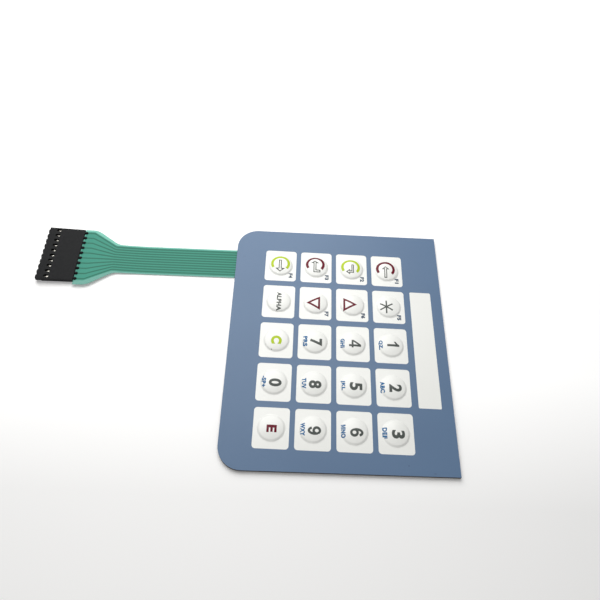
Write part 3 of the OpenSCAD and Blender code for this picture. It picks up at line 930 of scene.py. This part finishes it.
bowl_y = -0.83
outer_stem = oval(0, 0, wide=1.55, high=2.35, start=28, end=270)
outer_bowl = oval(0, bowl_y, wide=1.55, high=1.52, start=270, end=472.4)
inner_stem = oval(0, 0, wide=0.64, high=1.5, start=157.5, end=32)
six = outer_stem + outer_bowl[1:] + inner_stem[1:]
six_hole = oval(0, bowl_y, wide=0.62, high=0.68, start=0, end=342, steps=19)
nine, nine_hole = ([(-x, -y) for x, y in points] for points in (six, six_hole))
four = [(0.3, -2.3), (1.1, -2.3), (1.1, -1.3), (1.6, -1.3), (1.6, -0.6), (1.1, -0.6), (1.1, 2.3), (0.25, 2.3),
        (-1.6, -0.55), (-1.6, -1.3), (0.3, -1.3)]
four_hole = [(0.3, -0.6), (0.3, 1.15), (-0.85, -0.6)]
one = [(0.85, 2.3), (0.85, -2.3), (-0.05, -2.3), (-0.05, 0.9), (-1.2, 0.25), (-1.2, 1.0), (-0.35, 1.55),
       (0.1, 2.3)]

lay_ink(filled_between("six", six, six_hole), "grey", at_key("6", digit_right, up=0.7))
lay_ink(filled_between("nine", nine, nine_hole), "grey", at_key("9", digit_right, up=0.5))
lay_ink(filled_between("four", four, four_hole), "grey", at_key("4", right=0.4, up=0.75))
lay_ink(filled_outline("one", one), "grey", at_key("1", right=-0.12, up=0.78))
print(f"{len(printed['grey'])} grey legends")

# %% Small letters
letter_height = 1.58
letter_weight = 0.055
letter_spacing = 1.12
letter_right = 0.13
letters_up = [-4.02, -3.97, -3.6, -3.65]
letter_groups = {
    "1": ("QZ.", 3.9), "2": ("ABC", 4.4), "3": ("DEF", 4.0), "4": ("GHI", 3.75), "5": ("JKL", 3.8),
    "6": ("NO", 2.95), "7": ("PRS", 4.3), "8": ("TUV", 4.1), "9": ("WXY", 4.7), "0": ("-SP+", 4.4),
}
# An M made thicker closes up. So the one M has an outline of its own, to the left of its two neighbours.
letter_m = [(-0.77, -0.79), (-0.77, 0.79), (-0.27, 0.79), (0, -0.2), (0.27, 0.79), (0.77, 0.79),
            (0.77, -0.79), (0.45, -0.79), (0.45, 0.45), (0.13, -0.79), (-0.13, -0.79), (-0.45, 0.45),
            (-0.45, -0.79)]
m_left = 1.58
neighbours_right = 0.88


def row_of(name):
    return next(row for row, names in enumerate(KEY_ROWS) if name in names)


def lay_letters(label, width, ink, name, right, up):
    """Prints small letters on a key."""
    letters = words(label, letter_height, width, letter_weight, spacing=letter_spacing)
    lay_ink(letters, ink, at_key(name, right, up), fine_cell_size)


for name, (label, width) in letter_groups.items():
    right = letter_right + (neighbours_right if name == "6" else 0)
    lay_letters(label, width, "blue", name, right, letters_up[row_of(name)])
m_place = at_key("6", letter_right - m_left, letters_up[row_of("6")])
lay_ink(filled_outline("letter_m", letter_m), "blue", m_place, fine_cell_size)
print(f"{len(printed['blue'])} blue legends")

# %% Function numbers
function_width = 2.3
function_right = 4.7
functions_up = [3.97, 4.3, 4.4, 4.2]
function_keys = {"f1": "F1", "f2": "F2", "f3": "F3", "f4": "F4", "star": "F5", "up": "F6", "down": "F7"}

for name, label in function_keys.items():
    lay_letters(label, function_width, "navy", name, function_right, functions_up[row_of(name)])
print(f"{len(printed['navy'])} navy legends")

# %% [markdown]
# ## Rings, triangles, arrows and the asterisk
#
# The signs are line drawings. A closed outline is drawn point by point and filled. `inset` then cuts a border
# of one width inside it, and deleting the inner face leaves the line. This keeps the line equally wide round
# every corner, which is what a drawn arrow needs. A ring is a circle of edges that is extruded inwards, with
# the faces of its gap taken out again. The asterisk has no line round it: it is one filled outline.

# %% Helpers for line drawings
def only_the_border(shape, line):
    """Turns a filled outline into a line of one width in millimetres."""
    edit(shape)
    bpy.ops.mesh.inset(thickness=line * MM, depth=0)
    bpy.ops.mesh.delete(type="FACE")
    finish_editing()
    return shape


ring_outer = 3.9
ring_line = 1.06
ring_sides = 96
ring_opens_at = -57
ring_opens_to = 48


def open_ring():
    """A round line with a gap on its right-hand side."""
    bpy.ops.object.select_all(action="DESELECT")
    bpy.ops.mesh.primitive_circle_add(vertices=ring_sides, radius=ring_outer * MM, fill_type="NOTHING")
    ring = bpy.context.object
    edit(ring)
    bpy.ops.mesh.extrude_edges_move()
    bpy.ops.transform.resize(value=(1 - ring_line / ring_outer,) * 3, center_override=(0, 0, 0))
    bpy.ops.mesh.select_all(action="DESELECT")
    finish_editing()
    for polygon in ring.data.polygons:
        angle = math.degrees(math.atan2(polygon.center.y, polygon.center.x))
        polygon.select = ring_opens_at < angle < ring_opens_to
    bpy.ops.object.mode_set(mode="EDIT")
    bpy.ops.mesh.select_mode(type="FACE")
    bpy.ops.mesh.delete(type="FACE")
    bpy.ops.mesh.select_mode(type="VERT")
    finish_editing()
    return ring


print("line drawings can be made")

# %% Rings and triangles
ring_places = {"f1": (-0.6, -0.5, "red"), "f2": (-0.6, -0.4, "green"),
               "f3": (-1.08, -0.4, "red"), "f4": (-0.6, -0.15, "green")}
triangle_half = 3.05
triangle_high = 5.4
triangle_line = 0.76
triangle_places = {"up": (0.2, -0.85, 1), "down": (0.27, -0.93, -1)}

for name, (right, up, ink) in ring_places.items():
    lay_ink(open_ring(), ink, at_key(name, right, up), fine_cell_size)
for name, (right, up, way) in triangle_places.items():
    half = triangle_high / 2 * way
    points = [(-triangle_half, -half), (triangle_half, -half), (0, half)]
    triangle = only_the_border(filled_outline("triangle", points), triangle_line)
    lay_ink(triangle, "red", at_key(name, right, up))
print(f"{len(printed['red'])} red and {len(printed['green'])} green shapes")

# %% Arrows
# F1's arrow points left and F4's right. F2's turns down, and F3's comes down and turns left.
arrow_line = 0.36
first_y = -0.5
first_shaft = 0.58
first_head = 1.6
arrows = {
    "f1": [(-1.95, first_y), (-0.45, first_y + first_head), (-0.45, first_y + first_shaft),
           (3.6, first_y + first_shaft), (3.6, first_y - first_shaft), (-0.45, first_y - first_shaft),
           (-0.45, first_y - first_head)],
    "f2": [(-1.9, 0.95), (2.15, 0.95), (2.15, -0.65), (2.95, -0.65), (1.65, -2.3), (0.35, -0.65),
           (1.1, -0.65), (1.1, -0.05), (-1.9, -0.05)],
    "f3": [(-2.95, -0.55), (-1.65, 1.15), (-1.65, 0.03), (1.6, 0.03), (1.6, 1.7), (2.8, 1.7), (2.8, -1.13),
           (-1.65, -1.13), (-1.65, -2.25)],
    "f4": [(3.35, -0.25), (1.65, 1.8), (1.65, 0.35), (-2.45, 0.35), (-2.45, -0.85), (1.65, -0.85),
           (1.65, -2.3)],
}

for name, points in arrows.items():
    lay_ink(only_the_border(filled_outline("arrow", points), arrow_line), "grey", key_at[name])
print(f"{len(arrows)} arrows")

# %% The asterisk
arm_long = 2.85
arm_wide = 0.56
arms = 6


def direction(degrees):
    return Vector((math.cos(math.radians(degrees)), math.sin(math.radians(degrees))))


star = []
for arm in range(arms):
    out = direction(360 / arms * arm)
    side = Vector((-out.y, out.x)) * arm_wide / 2
    notch = direction(360 / arms * (arm + 0.5)) * arm_wide
    star += [tuple(out * arm_long - side), tuple(out * arm_long + side), tuple(notch)]
lay_ink(filled_outline("asterisk", star), "grey", at_key("star", right=0.4, up=-1.0))
print(f"{len(printed['grey'])} grey shapes")

# %% Print each ink on the film
ink_smooth_angle = math.radians(30)


def turn_upwards(layer):
    """Flips each face that looks down. Every letter is an island, so they can't be turned together."""
    edit(layer)
    bpy.ops.mesh.select_all(action="DESELECT")
    bpy.ops.mesh.select_mode(type="FACE")
    finish_editing()
    for polygon in layer.data.polygons:
        polygon.select = polygon.normal.z < 0
    bpy.ops.object.mode_set(mode="EDIT")
    bpy.ops.mesh.flip_normals()
    bpy.ops.mesh.select_mode(type="VERT")
    finish_editing()


def press_on(name, ink, replaced=()):
    """Joins one ink's shapes, drops them onto the film and gives them the thickness of ink."""
    layer = join(name, printed[ink])
    edit(layer)
    bpy.ops.mesh.remove_doubles(threshold=weld)
    bpy.ops.mesh.quads_convert_to_tris()
    finish_editing()
    turn_upwards(layer)
    drop = layer.modifiers.new("drop_on_the_film", "SHRINKWRAP")
    drop.target = film
    drop.wrap_method = "PROJECT"
    drop.use_project_z = True
    drop.use_negative_direction = True
    drop.use_positive_direction = False
    apply_all(layer)
    move(layer, (0, 0, ink_lift))
    coat = layer.modifiers.new("coat_of_ink", "SOLIDIFY")
    coat.thickness = ink_thick
    coat.offset = 1
    apply_all(layer)
    layer.data.materials.clear()
    layer.data.materials.append(inks[ink])
    pick(layer)
    bpy.ops.object.shade_smooth_by_angle(angle=ink_smooth_angle)
    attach(layer, "root")
    if replaced:
        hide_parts(*replaced)
    heights = [vertex.co.z / MM for vertex in layer.data.vertices]
    print(f"{name}: {len(layer.data.polygons)} faces, {min(heights):.2f} to {max(heights):.2f} mm")
    return layer


press_on("grey_legend_print", "grey")
press_on("blue_legend_print", "blue")
press_on("navy_legend_print", "navy")
red_print = press_on("red_legend_print", "red", replaced=["ring_print_red", "arrow_sign_print"])
green_print = press_on("green_legend_print", "green", replaced=["ring_print_green"])

# %% [markdown]

# %% Finish
print("finished")
